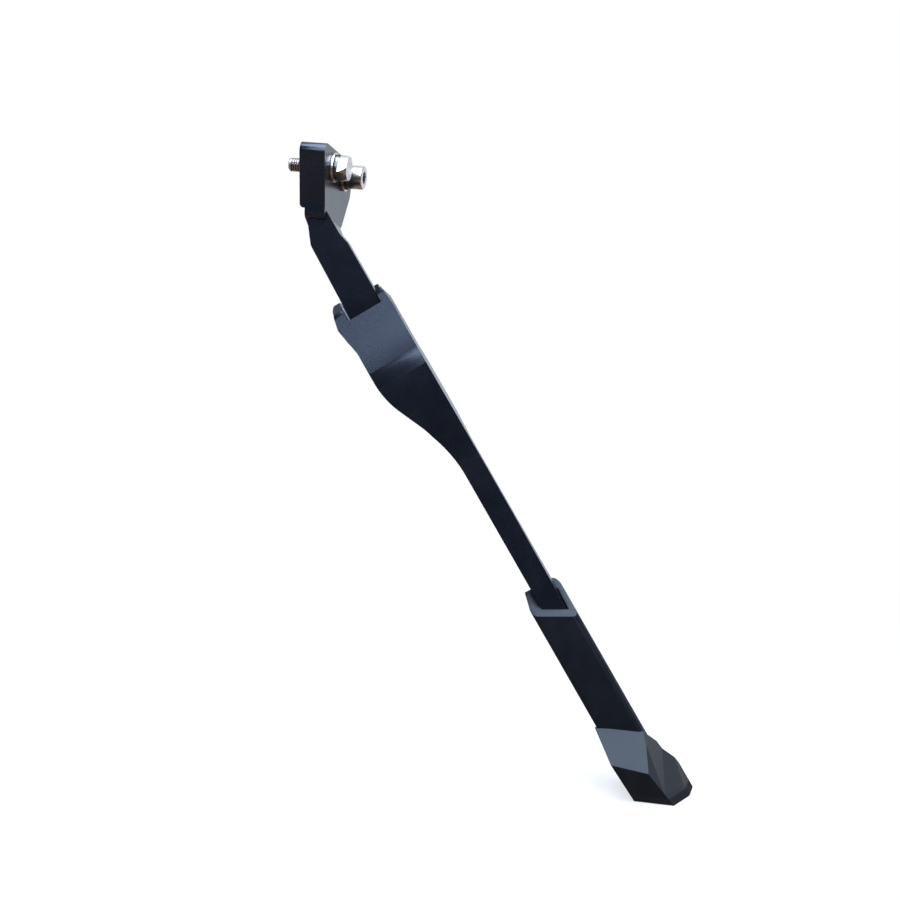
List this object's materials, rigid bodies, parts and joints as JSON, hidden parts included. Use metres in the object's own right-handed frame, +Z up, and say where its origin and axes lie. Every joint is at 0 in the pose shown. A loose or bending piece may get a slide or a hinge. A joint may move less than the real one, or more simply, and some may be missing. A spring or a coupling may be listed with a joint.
{
  "type": "bicycle kickstand",
  "caption": "Rear-mount bicycle side stand with a bolted plate, folding leg on a clevis hinge and a sliding foot that sets its length.",
  "frame": {"origin": "centre of the front bolt hole on the bracket's mating face, which bears on the bicycle's frame", "axes": "+X outboard, away from the wheel; +Y to the bicycle's rear; +Z up; the leg stands in its parked position"},
  "size_m": [0.1873, 0.0992, 0.2564],
  "materials": {
    "coated_alloy": "satin black coating",
    "black_plastic": "satin",
    "stainless": "polished stainless steel",
    "spring_steel": "oiled",
    "bronze": "plain bearing bronze",
    "slide_plastic": "plain",
    "black_rubber": "matte"
  },
  "bodies": {
    "bracket": {"mount_bracket": "coated_alloy", "pivot_bush": "bronze", "front_hex_bolt": "stainless", "front_flat_washer": "stainless", "front_lock_washer": "spring_steel", "rear_cap_screw": "stainless", "rear_flat_washer": "stainless", "rear_lock_washer": "spring_steel"},
    "leg": {"leg": "coated_alloy", "pivot_pin": "stainless", "side_liners": "slide_plastic", "detent_spring": "spring_steel", "stop_pin": "stainless"},
    "follower": {"detent_follower": "spring_steel"},
    "foot": {"foot_shoe": "black_plastic", "sole_pad": "black_rubber", "latch_pin": "stainless", "latch_spring": "spring_steel"},
    "latch": {"latch_rocker": "black_plastic"}
  },
  "joints": [
    {"name": "leg_fold", "type": "hinge", "parent": "bracket", "child": "leg", "pos_m": [0.032, -0.01345, -0.0601], "axis": [0.8259, 0.2011, 0.5268], "range_deg": [0, 100]},
    {"name": "detent_slide", "type": "slide", "parent": "leg", "child": "follower", "axis": [0.5592, -0.1724, -0.8109], "range_m": [-0.0011, 0], "stiffness_N_per_m": 7300, "springref_m": -0.004, "deforming": ["detent_spring"]},
    {"name": "foot_extension", "type": "slide", "parent": "leg", "child": "foot", "axis": [0.5592, -0.1724, -0.8109], "range_m": [0, 0.04]},
    {"name": "latch_rock", "type": "hinge", "parent": "foot", "child": "latch", "pos_m": [0.13243, -0.03696, -0.19795], "axis": [0.8259, 0.2011, 0.5268], "range_deg": [-4, 6], "stiffness_Nm_per_rad": 0.7, "springref_deg": 11.46, "deforming": ["latch_spring"]}
  ]
}
